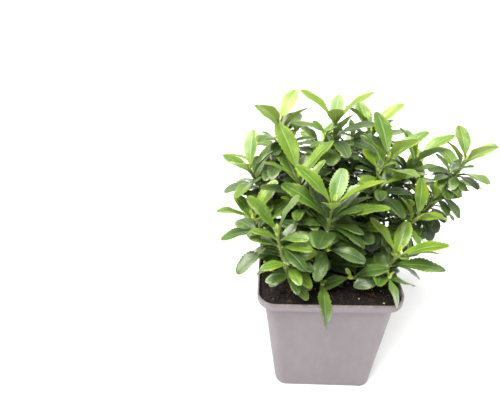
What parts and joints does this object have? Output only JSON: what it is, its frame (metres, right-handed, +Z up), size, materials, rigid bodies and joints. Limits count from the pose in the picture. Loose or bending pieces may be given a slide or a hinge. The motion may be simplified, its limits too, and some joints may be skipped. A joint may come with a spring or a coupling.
{
  "type": "potted japanese spindle shrub",
  "caption": "Young bushy evergreen shrub of upright leafy shoots with opposite glossy leaves, grown in a tapered square nursery pot of soil.",
  "frame": {"origin": "centre of the flat underside of the pot, on the surface it stands on", "axes": "+Z up along the pot's middle, -Y the side of the pot that faces the viewer, +X to the viewer's right"},
  "size_m": [0.173, 0.1474, 0.2005],
  "materials": {
    "pot": "satin",
    "soil": "matte",
    "bark": "matte",
    "leaf": "satin"
  },
  "bodies": {
    "root": {"bough_back_left_low": "bark", "bough_back_low": "bark", "bough_back_right_low": "bark", "bough_corner_low": "bark", "bough_front_low": "bark", "bough_front_mid": "bark", "bough_left_high": "bark", "bough_low_mid": "bark", "bough_right_high": "bark", "bough_right_low": "bark", "bough_right_mid": "bark", "leaves_back": "leaf", "leaves_back_left": "leaf", "leaves_back_left_low": "leaf", "leaves_back_low": "leaf", "leaves_back_right": "leaf", "leaves_back_right_low": "leaf", "leaves_centre": "leaf", "leaves_corner_low": "leaf", "leaves_far_right": "leaf", "leaves_front": "leaf", "leaves_front_left": "leaf", "leaves_front_low": "leaf", "leaves_front_mid": "leaf", "leaves_front_right": "leaf", "leaves_left": "leaf", "leaves_left_high": "leaf", "leaves_low_mid": "leaf", "leaves_middle": "leaf", "leaves_right": "leaf", "leaves_right_high": "leaf", "leaves_right_low": "leaf", "leaves_right_mid": "leaf", "pot": "pot", "soil": "soil", "stem_back": "bark", "stem_back_left": "bark", "stem_back_right": "bark", "stem_centre": "bark", "stem_far_right": "bark", "stem_front": "bark", "stem_front_left": "bark", "stem_front_right": "bark", "stem_left": "bark", "stem_middle": "bark", "stem_right": "bark"}
  },
  "joints": []
}
